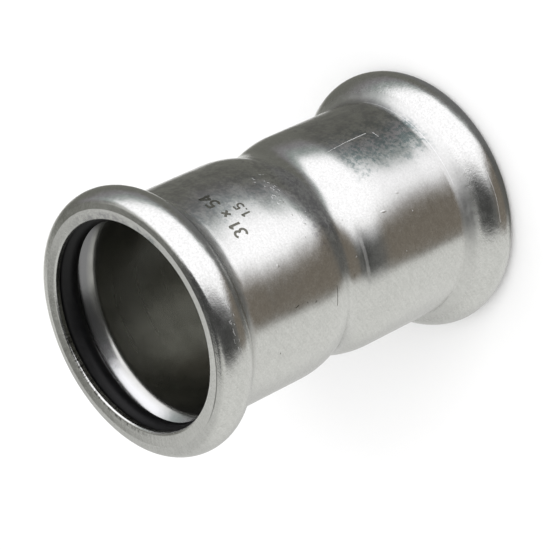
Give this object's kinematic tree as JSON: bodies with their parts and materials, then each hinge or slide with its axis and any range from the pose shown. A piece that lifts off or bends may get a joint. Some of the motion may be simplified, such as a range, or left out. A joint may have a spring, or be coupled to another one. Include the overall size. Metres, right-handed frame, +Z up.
{
  "type": "press fit pipe coupling",
  "caption": "Straight press coupling for metal pipe: a formed steel sleeve with a rolled bead and rubber O-ring at each end and a pressed-in waist that stops the pipes.",
  "frame": {"origin": "middle of the lower end, on the surface that the coupling stands on", "axes": "+Z up along the tube's axis; the tube is round, so X and Y are free"},
  "size_m": [0.0372, 0.0372, 0.054],
  "materials": {
    "steel": "satin, drawn and rolled, with fine tooling lines",
    "seal": "matt black moulded rubber"
  },
  "bodies": {
    "root": {"coupling_body": "steel", "seal_ring_upper": "seal", "seal_ring_lower": "seal"}
  },
  "joints": []
}
